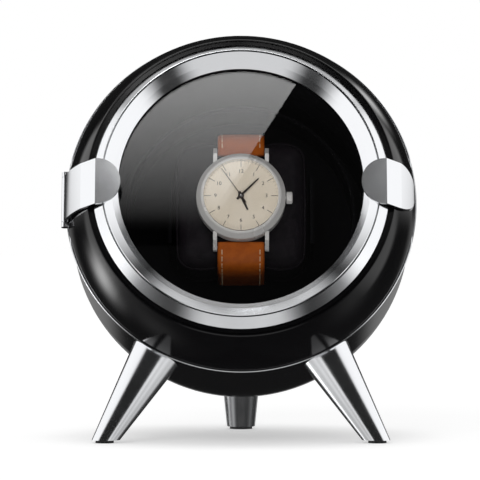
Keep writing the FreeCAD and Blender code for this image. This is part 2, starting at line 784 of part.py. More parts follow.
def build_motor():
    deck_rear = d.deck_face - d.deck_thickness
    gear_rear = deck_rear - d.gearbox_length
    spot = placement_text((0, motor_offset(), 0))
    gearbox = turned("gearbox_body", [
        (0, gear_rear), (d.gearbox_radius, gear_rear), (d.gearbox_radius, deck_rear),
        (d.nose_radius, deck_rear), (d.nose_radius, d.deck_face), (d.spindle_radius, d.deck_face),
        (d.spindle_radius, d.gear_rear + d.gear_face - 0.2), (0, d.gear_rear + d.gear_face - 0.2),
    ])
    keep(gearbox, "gearbox", CASE_FRAME, spot)
    motor_rear = gear_rear - d.motor_length
    motor = turned("motor_body", [
        (0, motor_rear - 1.5), (3, motor_rear - 1.5), (3, motor_rear), (d.motor_radius - 1, motor_rear),
        (d.motor_radius, motor_rear + 1), (d.motor_radius, gear_rear), (0, gear_rear),
    ])
    keep(motor, "motor", CASE_FRAME, spot)
    lugs = []
    for name, side in (("left", -1), ("right", 1)):
        steps = [placement_text((d.gearbox_radius * side + side * 3, motor_offset(), 0))]
        lugs.append(screw(f"motor_screw_{name}", as_size(1.4), as_size(2.6), deck_rear - 3,
                          d.deck_face - 0.6, deck_rear - 4.5, deck_rear - 3, *steps))
    tabs = []
    for name, side in (("left", -1), ("right", 1)):
        tabs.append(cylinder(f"motor_tab_{name}", as_size(4.0), as_size(2.7),
                             placement_text((d.gearbox_radius * side + side * 3, motor_offset(),
                                             deck_rear - 2.9))))
    bridge = block("motor_bridge", (-d.gearbox_radius - 3, motor_offset() - 4, deck_rear - 2.9),
                   (d.gearbox_radius * 2 + 6, as_size(8.0), as_size(2.7)))
    openings = [cylinder("motor_clear", d.gearbox_radius + d.stand_gap, as_size(10),
                         placement_text((0, motor_offset(), deck_rear - 6)))]
    for name, side in (("left", -1), ("right", 1)):
        openings.append(cylinder(f"motor_tab_hole_{name}", as_size(1.7), as_size(10),
                                 placement_text((d.gearbox_radius * side + side * 3, motor_offset(),
                                                 deck_rear - 6))))
    bracket = cut("motor_bracket_body", fused("motor_bracket_solid", tabs + [bridge]),
                  grouped("motor_bracket_holes", openings))
    keep(bracket, "motor_clamps")
    keep(grouped("motor_screw_set", lugs), "motor_screws")

    board_front = deck_rear - d.board_lift
    board = block("board_plate", (as_size(-25), as_size(-50), board_front - 1.6),
                  (as_size(50), as_size(24), as_size(1.6)))
    chips = []
    for name, x, y, length, width, tall in (("logic", -6, -42, 10, 8, 1.6), ("driver", 10, -44, 6, 5, 1.4),
                                            ("plug", -22, -47, 8, 6, 6.0)):
        chips.append(block(f"board_{name}", (as_size(x), as_size(y), board_front - 1.6 - tall),
                           (as_size(length), as_size(width), as_size(tall))))
    keep(fused("board_body", [board] + chips), "control_board")


# ---------------------------------------------------------------- door

def strap_rods(name, radius, low, high):
    """Four rods through the door ring, a pair under each strap."""
    rods = []
    for side in (-1, 1):
        for rise in (-6, 6):
            spot = placement_text((d.strap_screw_offset * side, rise, low))
            rods.append(cylinder(f"{name}_{len(rods) + 1}", radius, high - low, spot))
    return grouped(name + "_set", rods)


def build_door():
    wall = d.crest_radius - d.stand_gap
    outer = turned("door_ring_blank", [
        (d.door_boss_radius, d.door_back), (d.door_radius, d.door_back), (d.door_radius, d.door_edge),
        (d.crest_radius + 0.3, d.crest_height), (d.crest_radius, d.crest_height),
        (d.crest_radius, d.door_floor), (d.glass_seat_radius, d.door_floor),
        (d.glass_seat_radius, d.door_boss_back), (d.door_boss_radius, d.door_boss_back),
    ])
    keep(cut("door_ring_body", outer, strap_rods("ring_hole", d.strap_screw_radius + d.stand_gap,
                                                        d.landing_face, d.crest_height + 5)), "door_ring")

    inner = turned("glass_bezel_body", [
        (d.glass_edge_radius, d.glass_front + 0.1), (d.glass_seat_radius - 0.3, d.glass_front + 0.1),
        (d.glass_seat_radius - 0.3, d.door_floor + 0.1), (wall, d.door_floor + 0.1),
        (wall, d.crest_height - 0.3), (wall - 0.4, d.crest_height),
        (d.facet_radius, d.facet_height), (d.glass_edge_radius, d.lip_height),
    ])
    keep(inner, "glass_bezel")

    glass_rear = d.glass_front - d.glass_thickness
    pane = turned("glass_body", [
        (0, glass_rear), (d.glass_radius, glass_rear), (d.glass_radius, d.glass_front),
        (0, d.glass_front),
    ])
    keep(pane, "door_glass")
    keep(washer("gasket_body", d.gasket_inner, d.glass_radius, d.door_boss_back, glass_rear),
         "glass_gasket")
    keep(washer("seal_body", d.seal_inner, d.seal_outer, d.landing_face,
                d.landing_face + d.seal_thickness), "door_seal")


def band_outline(end_inner, end_outer, end_height, outer_height):
    """Side view of a bent strip: flat tab on the ring crest, then down along the bezel."""
    lift = d.crest_height + 0.1
    top = lift + d.band_thickness
    inner_bulge = d.bezel_bulge + d.band_lift
    outer_bulge = inner_bulge + d.band_thickness
    return [
        (d.tab_tip_radius - 1, lift),
        (d.tab_bend_radius - 0.3, lift),
        (d.band_shoulder, d.band_shoulder_height, inner_bulge, RIGHT),
        (end_inner, end_height),
        (end_outer, outer_height, outer_bulge, LEFT),
        (d.band_shoulder + 1.02, d.band_shoulder_height + 0.86),
        (d.tab_bend_radius + 0.25, top),
        (d.tab_tip_radius - 1, top),
    ]


def plan_outline(end, corner):
    """Front view of a strap: half-round tab towards the glass, straight sides, rounded far end."""
    half = d.band_width / 2
    near = d.tab_tip_radius + half
    path = [(near, half, half, LEFT), (d.tab_tip_radius, 0, half, LEFT), (near, -half)]
    if corner is None:
        return path + [(end, -half), (end, half)]
    return path + [
        (end - corner, -half, corner, LEFT), (end, corner - half),
        (end, half - corner, corner, LEFT), (end - corner, half),
    ]


def build_strap(name, side, band, plan):
    strip = padded(name + "_band", "XZ_Plane", band, d.band_width + 4, symmetric=True)
    form = padded(name + "_plan", "XY_Plane", plan, 60, level=-10)
    shape = common(name + "_common", strip, form)
    turn = placement_text((0, 0, 0), (0, 0, 1), 0 if side > 0 else 180)
    return shape, turn


def build_door_straps():
    band = band_outline(as_size(74.46), as_size(75.8), as_size(6.0), as_size(6.0))
    shape, turn = build_strap("hinge_side", -1, band, plan_outline(as_size(80), None))
    half = d.band_width / 2
    knuckle = cylinder("knuckle", d.knuckle_radius, d.band_width - 0.2,
                       placement_text((d.hinge_offset, half - 0.1, d.hinge_forward), (1, 0, 0), 90))
    root = block("knuckle_root", (as_size(74.5), -half + 0.1, d.hinge_forward),
                 (as_size(1.25), d.band_width - 0.2, as_size(2.4)))
    bore = cylinder("knuckle_bore", d.pin_radius + d.run_gap, 40,
                    placement_text((d.hinge_offset, 20, d.hinge_forward), (1, 0, 0), 90))
    arm = cut("hinge_strap_body", fused("hinge_strap_solid", [shape, knuckle, root]), bore)
    keep(arm, "hinge_strap", CASE_FRAME, turn)

    band = band_outline(as_size(72.85), as_size(74.14), d.pull_end - 0.05, d.pull_end)
    shape, turn = build_strap("pull_side", 1, band, plan_outline(d.pull_end_radius + 0.4, d.pull_corner))
    keep(shape, "pull_strap", CASE_FRAME, turn)

    keep(strap_rods("strap_screw", d.strap_screw_radius, d.door_back + 0.1, d.crest_height + 0.1),
         "strap_screws")


def build_hinge_and_latch():
    half = d.hinge_half_width
    plate = block("hinge_plate", (-d.hinge_plate_outer, -half, d.bezel_rear + 0.7),
                  (d.hinge_plate_outer - d.hinge_plate_inner, half * 2,
                   d.hinge_forward + d.knuckle_radius - d.bezel_rear - 0.6))
    ears = []
    for name, low in (("low", -half), ("high", d.band_width / 2 + 0.1)):
        width = half - d.band_width / 2 - 0.1
        ears.append(cylinder(f"hinge_ear_{name}", d.knuckle_radius, width,
                             placement_text((-d.hinge_offset, low, d.hinge_forward), (1, 0, 0), -90)))
        ears.append(block(f"hinge_web_{name}", (-d.hinge_offset, low, d.hinge_forward - 1.4),
                          (d.hinge_offset - d.hinge_plate_outer + 0.2, width, as_size(2.8))))
    bore = cylinder("hinge_bore", d.pin_radius + d.run_gap, 40,
                    placement_text((-d.hinge_offset, -20, d.hinge_forward), (1, 0, 0), -90))
    keep(cut("hinge_bracket_body", fused("hinge_bracket_solid", [plate] + ears), bore),
         "hinge_bracket")
    pin = cylinder("pin_body", d.pin_radius, half * 2)
    keep(pin, "hinge_pin", CASE_FRAME,
         placement_text((-d.hinge_offset, -half, d.hinge_forward), (1, 0, 0), -90))

    magnet = cylinder("magnet_body", d.magnet_radius, d.magnet_height + 1.1)
    keep(magnet, "latch_magnet", CASE_FRAME,
         placement_text((d.magnet_offset, 0, d.landing_face - 1.1)))
    strike = block("strike_body", (0, 0, 0), (as_size(3.0), as_size(8.0), d.strike_thickness))
    keep(strike, "latch_plate", CASE_FRAME,
         placement_text((d.magnet_offset - 1.5, -4, d.door_back - d.strike_thickness)))


# ---------------------------------------------------------------- legs

def build_legs():
    shell = cylinder("shell_clear_barrel", d.case_radius + 0.25, d.barrel_length, CASE_FRAME,
                     placement_text((0, 0, -d.barrel_length)))
    dome = doc.addObject("Part::Sphere", "shell_clear_dome")
    bind(dome, Radius=d.case_radius + 0.25)
    place(dome, CASE_FRAME, placement_text((0, 0, -d.barrel_length)))
    floor = block("floor_cut", (-100, -100, -50), (200, 250, d.pad_height + 50))
    clear = fused("leg_clear", [shell, dome, floor])
    bolts = []
    for side, name in ((-1, "left"), (1, "right"), (0, "rear")):
        steps = leg_steps(side)
        rear = side == 0
        start = d.rear_leg_start if rear else d.leg_start
        top = d.rear_leg_top_radius if rear else d.leg_top_radius
        toe = d.rear_leg_toe_radius if rear else d.leg_toe_radius
        length = d.rear_leg_length if rear else d.leg_length
        cone = doc.addObject("Part::Cone", f"leg_cone_{name}")
        bind(cone, Radius1=top, Radius2=toe, Height=length)
        place(cone, *steps, placement_text((0, 0, start)))
        bolt_start = start - 4
        bore = cylinder(f"leg_bore_{name}", d.bolt_radius + d.stand_gap, d.bolt_length + 1, *steps,
                        placement_text((0, 0, bolt_start)))
        tools = fused(f"leg_tools_{name}", [clear, bore])
        keep(cut(f"leg_body_{name}", cone, tools), f"leg_{name}", placement_text())
        bolts.append(screw(f"leg_bolt_{name}", d.bolt_radius, d.bolt_head_radius, bolt_start,
                           bolt_start + d.bolt_length, bolt_start, bolt_start + 3.5, *steps))
    keep(grouped("leg_bolt_set", bolts), "leg_bolts", placement_text())


def build_foot_pads():
    """Round rubber pads centred where each leg axis meets the pad plane."""
    tilt = math.radians(d.tilt_angle.value)
    pads = []
    for side, name in ((-1, "left"), (1, "right"), (0, "rear")):
        if side == 0:
            lean = math.radians(d.rear_leg_lean.value)
            across, along, forward = 0.0, -math.cos(lean), -math.sin(lean)
        else:
            spread = math.radians(d.leg_spread.value)
            across, along, forward = side * math.sin(spread), -math.cos(spread), 0.0
        down = along * math.cos(tilt) + forward * math.sin(tilt)
        back = along * math.sin(tilt) - forward * math.cos(tilt)
        start_y = d.ring_y.value - d.leg_plane.value * math.cos(tilt)
        start_z = d.ring_height.value + d.leg_plane.value * math.sin(tilt)
        reach = (d.pad_height.value - start_z) / down
        spot = placement_text((across * reach, start_y + back * reach, 0))
        radius = d.pad_radius + 1.2 if side == 0 else d.pad_radius
        pads.append(cylinder(f"foot_pad_{name}", radius, d.pad_height, spot))
    keep(grouped("foot_pad_set", pads), "foot_pads", placement_text())


# ---------------------------------------------------------------- cushion and watch

def build_cushion():
    """Soft block with a shallow channel all round its middle for the watch strap."""
    wide, tall = d.cushion_half_width, d.cushion_half_height
    body = padded("cushion_blank", "XY_Plane", box_outline(-wide, wide, -tall, tall),
                  d.cushion_front - d.cushion_rear, level=d.cushion_rear)
    doc.recompute()
    rounding = body.newObject("PartDesign::Fillet", "cushion_rounding")
    rounding.Base = (doc.getObject("cushion_blank_outline_pad"), [""])
    rounding.UseAllEdges = True
    rounding.setExpression("Radius", d.cushion_round.text)
    body.Tip = rounding
    inset = d.strap_fall - d.stand_gap
    core = strap_loop("cushion_core", inset, d.strap_rear + d.stand_gap, as_size(-0.2),
                      d.strap_round - d.stand_gap, d.groove_half_width * 2 + 4)
    slab = block("groove_slab", (-d.groove_half_width, as_size(-50), as_size(-50)),
                 (d.groove_half_width * 2, as_size(100), as_size(100)))
    hardware = block("hardware_recess", (as_size(-12), as_size(-10), as_size(-40)),
                     (as_size(24), as_size(20.5), d.strap_rear + 41.4))
    tools = fused("cushion_tools", [cut("groove_tool", slab, core), hardware])
    keep(cut("cushion_body", body, tools), "watch_cushion")


def strap_loop(name, half_height, rear, front, corner, width):
    """Rounded rectangle in the Y-Z plane, padded across X."""
    path = [
        (corner - half_height, rear), (half_height - corner, rear, corner, LEFT),
        (half_height, rear + corner), (half_height, front - corner, corner, LEFT),
        (half_height - corner, front), (corner - half_height, front, corner, LEFT),
        (-half_height, front - corner), (-half_height, rear + corner, corner, LEFT),
    ]
    return padded(name, "YZ_Plane", path, width, symmetric=True)


def strap_half(side, rear_end, layer):
    """Half of the strap in side view, from its spring bar round the cushion to the rear."""
    thick = d.strap_thickness
    fall = d.strap_fall
    round_in = d.strap_round
    rear_in = d.strap_rear - layer
    bar = d.bar_offset
    turn_in, turn_out = (RIGHT, LEFT) if side > 0 else (LEFT, RIGHT)
    tip = [
        (bar - 1.6, d.bar_height - 0.9),
        (bar + 1.2, d.bar_height - 1.1),
        (fall - 4.6, 1.0, round_in, turn_in),
        (fall, -round_in),
        (fall, rear_in + round_in, round_in, turn_in),
        (fall - round_in, rear_in),
        (rear_end, rear_in),
        (rear_end, rear_in - thick),
        (fall - round_in, rear_in - thick, round_in + thick, turn_out),
        (fall + thick, rear_in + round_in),
        (fall + thick, -round_in, round_in + thick, turn_out),
        (fall - 3.6, 2.9),
        (bar + 1.4, d.bar_height + 1.2),
        (bar - 1.6, d.bar_height + 1.1),
    ]
    path = []
    for step in tip:
        x = as_size(step[0])
        path.append(((x if side > 0 else -x),) + tuple(step[1:]))
    return path


def build_watch_straps():
    bars = []
    for name, side in (("upper", 1), ("lower", -1)):
        layer = as_size(0) if side > 0 else d.strap_thickness + 0.2
        rear_end = as_size(-4.0) if side > 0 else as_size(-12.0)
        strip = padded(f"strap_{name}_blank", "YZ_Plane", strap_half(side, rear_end, layer),
                       d.strap_width, symmetric=True)
        bore = cylinder(f"strap_{name}_bore", d.bar_radius + d.stand_gap, 40,
                        placement_text((-20, d.bar_offset * side, d.bar_height), (0, 1, 0), 90))
        keep(cut(f"strap_{name}_body", strip, bore), f"strap_{name}")
        bars.append(cylinder(f"spring_bar_{name}", d.bar_radius, d.lug_inner * 2 + 1.6,
                             placement_text((-d.lug_inner - 0.8, d.bar_offset * side, d.bar_height),
                                            (0, 1, 0), 90)))
    keep(grouped("spring_bar_set", bars), "spring_bars")


def rear_frame(name, rise, height, wall, front, rear):
    """Flat rectangular loop round the strap at the back of the cushion."""
    wide = d.strap_width / 2 + 0.3
    outer = block(name + "_outer", (-wide - wall, rise, rear - wall),
                  ((wide + wall) * 2, height, front - rear + wall * 2))
    inner = block(name + "_inner", (-wide, rise - 1, rear), (wide * 2, height + 2, front - rear))
    return cut(name, outer, inner)


def build_strap_hardware():
    front = d.strap_rear + 0.2
    rear = d.strap_rear - d.strap_thickness * 2 - 0.4
    keep(rear_frame("keeper_body", as_size(5.0), as_size(4.0), as_size(0.9), front, rear),
         "strap_keeper")
    frame = rear_frame("buckle_frame", as_size(-8.5), as_size(2.2), as_size(1.2), front, rear)
    keep(frame, "strap_buckle")


def lug(name, side, end):
    path = [(15.4, d.watch_shoulder - 0.5), (19.4, d.watch_shoulder - 0.6), (d.lug_tip, 4.9),
            (d.lug_tip, 3.1), (d.lug_tip - 1.4, 2.7), (15.4, d.watch_rise + 0.3)]
    if end < 0:
        path = [(-as_size(x), z) for x, z in path]
    body = padded(name, "YZ_Plane", path, d.lug_outer - d.lug_inner,
                  level=d.lug_inner if side > 0 else -d.lug_outer)
    return body


def build_watch():
    rim = turned("watch_ring", [
        (16.2, d.watch_rise), (d.watch_radius - 0.6, d.watch_rise), (d.watch_radius, d.watch_rise + 0.6),
        (d.watch_radius, d.watch_shoulder), (d.watch_radius - 1.9, d.watch_rim - 0.1),
        (d.crystal_radius + 0.6, d.watch_rim), (d.crystal_radius + 0.3, d.watch_rim),
        (d.crystal_radius + 0.3, d.crystal_rear - 0.05), (d.dial_radius, d.dial_face + 0.5),
        (d.dial_radius, d.dial_face + 0.05), (d.dial_radius + 0.9, d.dial_face + 0.05),
        (d.dial_radius + 0.9, d.watch_rise + 1.3), (16.2, d.watch_rise + 1.3),
    ])
    lugs = [lug(f"lug_{name}", side, end) for name, side, end in
            (("a", 1, 1), ("b", -1, 1), ("c", -1, -1), ("d", 1, -1))]
    tools = [cylinder(f"lug_hole_{name}", d.bar_radius + d.run_gap, d.lug_inner * 2 + 1.8,
                      placement_text((-d.lug_inner - 0.9, d.bar_offset * end, d.bar_height),
                                     (0, 1, 0), 90))
             for name, end in (("upper", 1), ("lower", -1))]
    tools.append(cylinder("stem_hole", d.stem_radius + d.run_gap, as_size(8),
                          placement_text((as_size(14), 0, d.crown_height), (0, 1, 0), 90)))
    keep(cut("watch_case_body", fused("watch_case_solid", [rim] + lugs), grouped("case_holes", tools)),
         "watch_case")

    back = turned("case_back_body", [
        (0, d.case_back), (14.0, d.case_back), (16.0, d.case_back + 1.0), (16.0, d.watch_rise - 0.05),
        (15.9, d.watch_rise + 1.0), (0, d.watch_rise + 1.0),
    ])
    keep(back, "watch_back")
    dial = turned("dial_body", [
        (d.post_pin_radius + 0.1, d.dial_face - d.dial_thickness),
        (d.dial_radius + 0.7, d.dial_face - d.dial_thickness), (d.dial_radius + 0.7, d.dial_face),
        (d.post_pin_radius + 0.1, d.dial_face),
    ])
    keep(dial, "watch_dial")
    movement = turned("movement_body", [
        (0, d.watch_rise + 1.1), (15.6, d.watch_rise + 1.1), (15.6, d.dial_face - d.dial_thickness - 0.1),
        (d.post_pin_radius, d.dial_face - d.dial_thickness - 0.1),
        (d.post_pin_radius, d.second_level + 0.14), (0, d.second_level + 0.14),
    ])
    stem_room = cylinder("stem_room", d.stem_radius + d.run_gap, as_size(6),
                         placement_text((as_size(13.5), 0, d.crown_height), (0, 1, 0), 90))
    keep(cut("movement_solid", movement, stem_room), "watch_movement")
    crystal = turned("crystal_body", [
        (0, d.crystal_rear), (d.crystal_radius, d.crystal_rear),
        (d.crystal_radius, d.crystal_rear + d.crystal_thickness - 0.4),
        (d.crystal_radius - 0.6, d.crystal_rear + d.crystal_thickness),
        (0, d.crystal_rear + d.crystal_thickness),
    ])
    keep(crystal, "watch_crystal")

    crown = turned("crown_blank", [
        (0, -5), (d.stem_radius, -5), (d.stem_radius, 0), (d.crown_radius - 0.3, 0),
        (d.crown_radius, 0.3), (d.crown_radius, d.crown_length - 0.4),
        (d.crown_radius - 0.5, d.crown_length), (0, d.crown_length),
    ])
    flutes = []
    for number in range(18):
        steps = [placement_text((0, 0, 0), (0, 0, 1), 20 * number),
                 placement_text((d.crown_radius + 0.12, 0, 0.2))]
        flutes.append(cylinder(f"crown_flute_{number + 1}", as_size(0.28), d.crown_length + 1, *steps))
    keep(cut("crown_body", crown, grouped("crown_flutes", flutes)), "watch_crown", CASE_FRAME,
         placement_text((d.crown_start, 0, d.crown_height), (0, 1, 0), 90))


def build_hands():
    bore = d.post_pin_radius + d.run_gap
    hands = (
        ("hour_hand", d.hour_length, d.hour_level, 0.62, 0.35, 1.3, 2.0, -156),
        ("minute_hand", d.minute_length, d.minute_level, 0.5, 0.25, 1.1, 2.4, -45),
        ("second_hand", d.second_length, d.second_level, 0.16, 0.1, 0.9, 4.0, -325),
    )
    for label, length, level, root_half, tip_half, hub, tail, angle in hands:
        blade = padded(label + "_blade", "XY_Plane", [
            (-root_half, -tail), (root_half, -tail), (root_half, 1), (tip_half, length),
            (-tip_half, length), (-root_half, 1),
        ], d.hand_thickness, level=level)
        disc = cylinder(label + "_hub", as_size(hub), d.hand_thickness, placement_text((0, 0, level)))
        hole = cylinder(label + "_hole", bore, 4, placement_text((0, 0, level - 1)))
        keep(cut(label + "_body", fused(label + "_solid", [blade, disc]), hole), label, CASE_FRAME,
             placement_text((0, 0, 0), (0, 0, 1), angle))


# ---------------------------------------------------------------- assembly and export

build_front_bezel()
build_trim_ring()
build_rear_shell()
build_liner()
build_deck()
build_posts()
build_standoffs()
build_rear_cover()
build_rear_controls()
build_rotor()
build_gears()
build_motor()
build_door()
build_door_straps()
build_hinge_and_latch()
build_legs()
build_foot_pads()
build_cushion()
build_watch_straps()
build_strap_hardware()
build_watch()
build_hands()
doc.recompute()

troubled = [item.Name for item in doc.Objects if "Invalid" in item.State or "Error" in item.State]
if troubled:
    raise RuntimeError("objects that did not compute: " + ", ".join(troubled))

os.makedirs("parts", exist_ok=True)
for item in sub_parts:
    if item.Shape.isNull() or not item.Shape.isValid():
        raise RuntimeError("no valid shape: " + item.Label)
    item.Shape.exportStep("parts/" + item.Label + ".step")
print(len(sub_parts), "sub-parts")
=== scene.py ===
import bmesh
import bpy
import math
from mathutils import Matrix, Vector
from mathutils.bvhtree import BVHTree


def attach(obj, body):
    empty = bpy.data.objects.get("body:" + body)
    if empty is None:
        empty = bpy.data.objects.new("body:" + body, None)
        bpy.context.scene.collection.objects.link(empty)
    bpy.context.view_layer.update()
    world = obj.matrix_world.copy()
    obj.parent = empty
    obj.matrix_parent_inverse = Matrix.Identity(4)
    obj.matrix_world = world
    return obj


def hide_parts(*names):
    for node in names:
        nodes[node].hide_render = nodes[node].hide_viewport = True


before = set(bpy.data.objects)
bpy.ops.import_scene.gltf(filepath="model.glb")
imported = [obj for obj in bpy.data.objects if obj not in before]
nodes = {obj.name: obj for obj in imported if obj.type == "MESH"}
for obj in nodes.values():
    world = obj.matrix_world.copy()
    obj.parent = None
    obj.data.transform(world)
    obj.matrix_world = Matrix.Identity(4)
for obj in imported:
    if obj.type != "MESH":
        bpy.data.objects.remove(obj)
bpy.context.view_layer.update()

# The tilted case frame: X right, Y up along the ring plane, Z forward along the rotor axis.
MM = 0.001
TILT = math.radians(17.1)
RING = Vector((0, -32.2, 102.0)) * MM
CASE = Matrix.Translation(RING) @ Matrix.Rotation(math.pi / 2 - TILT, 4, "X")
FORWARD = Vector((0, 0, 1))


# ---------------------------------------------------------------- mesh helpers

def new_object(name, mesh):
    obj = bpy.data.objects.new(name, mesh)
    bpy.context.scene.collection.objects.link(obj)
    return obj


def mesh_object(name, bm, smooth=True):
    """Object from a bmesh drawn in millimetres in the case frame."""
    bmesh.ops.recalc_face_normals(bm, faces=bm.faces)
    mesh = bpy.data.meshes.new(name)
    bm.to_mesh(mesh)
    bm.free()
    mesh.transform(Matrix.Scale(MM, 4))
    mesh.transform(CASE)
    for face in mesh.polygons:
        face.use_smooth = smooth
    return new_object(name, mesh)


def bridge_rings(bm, rings, closed=False):
    """Quads between successive rings of vertices."""
    pairs = list(zip(rings, rings[1:]))
    if closed:
        pairs.append((rings[-1], rings[0]))
    for first, second in pairs:
        count = len(first)
        for i in range(count):
            j = (i + 1) % count
            bm.faces.new((first[i], first[j], second[j], second[i]))


def circle(bm, centre, first, second, radius, sides):
    """Ring of vertices round a centre, in the plane of two unit vectors."""
    ring = []
    for side in range(sides):
        angle = 2 * math.pi * side / sides
        spoke = first * math.cos(angle) + second * math.sin(angle)
        ring.append(bm.verts.new(centre + spoke * radius))
    return ring


def final_mesh(obj):
    """New mesh of an object with its modifiers applied, or of a curve or text."""
    graph = bpy.context.evaluated_depsgraph_get()
    return bpy.data.meshes.new_from_object(obj.evaluated_get(graph))


def apply_modifiers(obj):
    final = final_mesh(obj)
    obj.modifiers.clear()
    old = obj.data
    obj.data = final
    bpy.data.meshes.remove(old)


def rise(amount, low, high):
    """Smooth step from 0 at low to 1 at high."""
    share = min(max((amount - low) / (high - low), 0.0), 1.0)
    return share * share * (3 - 2 * share)


# ---------------------------------------------------------------- materials

NOISE_DETAIL = 4.0


def material(name, colour, roughness, metallic=0.0, specular=0.5):
    mat = bpy.data.materials.new(name)
    mat.use_nodes = True
    shader = mat.node_tree.nodes["Principled BSDF"]
    shader.inputs["Base Color"].default_value = (*colour, 1)
    shader.inputs["Roughness"].default_value = roughness
    shader.inputs["Metallic"].default_value = metallic
    shader.inputs["Specular IOR Level"].default_value = specular
    return mat, shader


def texture(mat, kind, scale, stretch=(1, 1, 1), **settings):
    """A procedural texture in object coordinates, counted per millimetre."""
    tree = mat.node_tree
    place = tree.nodes.new("ShaderNodeTexCoord")
    mapping = tree.nodes.new("ShaderNodeMapping")
    mapping.inputs["Scale"].default_value = [1000 * amount for amount in stretch]
    node = tree.nodes.new(kind)
    node.inputs["Scale"].default_value = scale
    for key, amount in settings.items():
        if key in node.inputs:
            node.inputs[key].default_value = amount
        else:
            setattr(node, key, amount)
    tree.links.new(place.outputs["Object"], mapping.inputs["Vector"])
    tree.links.new(mapping.outputs["Vector"], node.inputs["Vector"])
    return node


def remap(mat, source, low, high, target_low, target_high):
    """Output that runs from target_low to target_high as the source runs from low to high."""
    node = mat.node_tree.nodes.new("ShaderNodeMapRange")
    for key, amount in (("From Min", low), ("From Max", high), ("To Min", target_low),
                        ("To Max", target_high)):
        node.inputs[key].default_value = amount
    mat.node_tree.links.new(source, node.inputs["Value"])
    return node.outputs["Result"]


def vary_roughness(mat, shader, scale, low, high, stretch=(1, 1, 1)):
    noise = texture(mat, "ShaderNodeTexNoise", scale, stretch, Detail=NOISE_DETAIL)
    result = remap(mat, noise.outputs["Fac"], 0.3, 0.7, low, high)
    mat.node_tree.links.new(result, shader.inputs["Roughness"])


def vary_colour(mat, shader, scale, first, second):
    noise = texture(mat, "ShaderNodeTexNoise", scale, Detail=NOISE_DETAIL)
    ramp = mat.node_tree.nodes.new("ShaderNodeValToRGB")
    for stop, position, colour in zip(ramp.color_ramp.elements, (0.35, 0.65), (first, second)):
        stop.position = position
        stop.color = (*colour, 1)
    mat.node_tree.links.new(noise.outputs["Fac"], ramp.inputs["Fac"])
    mat.node_tree.links.new(ramp.outputs["Color"], shader.inputs["Base Color"])


def add_bump(mat, shader, height, strength, distance):
    bump = mat.node_tree.nodes.new("ShaderNodeBump")
    bump.inputs["Strength"].default_value = strength
    bump.inputs["Distance"].default_value = distance
    mat.node_tree.links.new(height, bump.inputs["Height"])
    before = shader.inputs["Normal"].links
    if before:
        mat.node_tree.links.new(before[0].from_socket, bump.inputs["Normal"])
    mat.node_tree.links.new(bump.outputs["Normal"], shader.inputs["Normal"])


def piano_black():
    mat, shader = material("piano_black", (0.003, 0.0029, 0.0033), 0.1, specular=0.3)
    vary_roughness(mat, shader, scale=0.05, low=0.07, high=0.13)
    wave = texture(mat, "ShaderNodeTexNoise", 0.12, Detail=1.0)
    add_bump(mat, shader, wave.outputs["Fac"], strength=0.05, distance=0.0002)
    return mat


def satin_black(name, colour, roughness, specular):
    mat, shader = material(name, colour, roughness, specular=specular)
    grain = texture(mat, "ShaderNodeTexNoise", 3.0, Detail=3.0)
    add_bump(mat, shader, grain.outputs["Fac"], strength=0.1, distance=0.00003)
    vary_roughness(mat, shader, scale=0.2, low=roughness - 0.08, high=roughness + 0.08)
    return mat


def mottled(name, colour, roughness, scale, low, high, metallic=0.0):
    """Plain material whose roughness varies a little over its surface."""
    mat, shader = material(name, colour, roughness, metallic)
    vary_roughness(mat, shader, scale, low, high)
    return mat


def chrome(name, low, high, tone=(0.83, 0.84, 0.86), metallic=1.0):
    return mottled(name, tone, (low + high) / 2, 0.08, low, high, metallic)


def steel(name, tone=(0.68, 0.68, 0.69), low=0.16, high=0.3):
    mat, shader = material(name, tone, (low + high) / 2, 1.0)
    vary_roughness(mat, shader, scale=1.2, low=low, high=high, stretch=(1, 1, 8))
    return mat


def rubber():
    mat, shader = material("rubber", (0.012, 0.012, 0.012), 0.75)
    grain = texture(mat, "ShaderNodeTexNoise", 6.0)
    add_bump(mat, shader, grain.outputs["Fac"], strength=0.3, distance=0.00005)
    return mat


def clear_glass(name, tint=(0.98, 0.985, 0.985)):
    mat, shader = material(name, tint, 0.0)
    shader.inputs["Transmission Weight"].default_value = 1.0
    shader.inputs["IOR"].default_value = 1.45
    return mat


def leather(name, first, second, pore_scale):
    roughness = 0.5
    mat, shader = material(name, first, roughness, specular=0.3)
    vary_colour(mat, shader, 0.35, first, second)
    vary_roughness(mat, shader, scale=0.8, low=roughness - 0.08, high=roughness + 0.1)
    pores = texture(mat, "ShaderNodeTexVoronoi", pore_scale)
    add_bump(mat, shader, pores.outputs["Distance"], strength=0.35, distance=0.00012)
    fine = texture(mat, "ShaderNodeTexNoise", pore_scale * 2.5, Detail=5.0)
    add_bump(mat, shader, fine.outputs["Fac"], strength=0.18, distance=0.00006)
    return mat


def sewing_thread():
    mat, shader = material("pale_thread", (0.62, 0.50, 0.34), 0.7)
    fibre = texture(mat, "ShaderNodeTexNoise", 12.0, Detail=3.0)
    add_bump(mat, shader, fibre.outputs["Fac"], strength=0.5, distance=0.00004)
    return mat


def cream_paint():
    mat, shader = material("cream_dial", (0.80, 0.74, 0.64), 0.38)
    vary_colour(mat, shader, 0.12, (0.89, 0.79, 0.655), (0.85, 0.745, 0.60))
    return mat


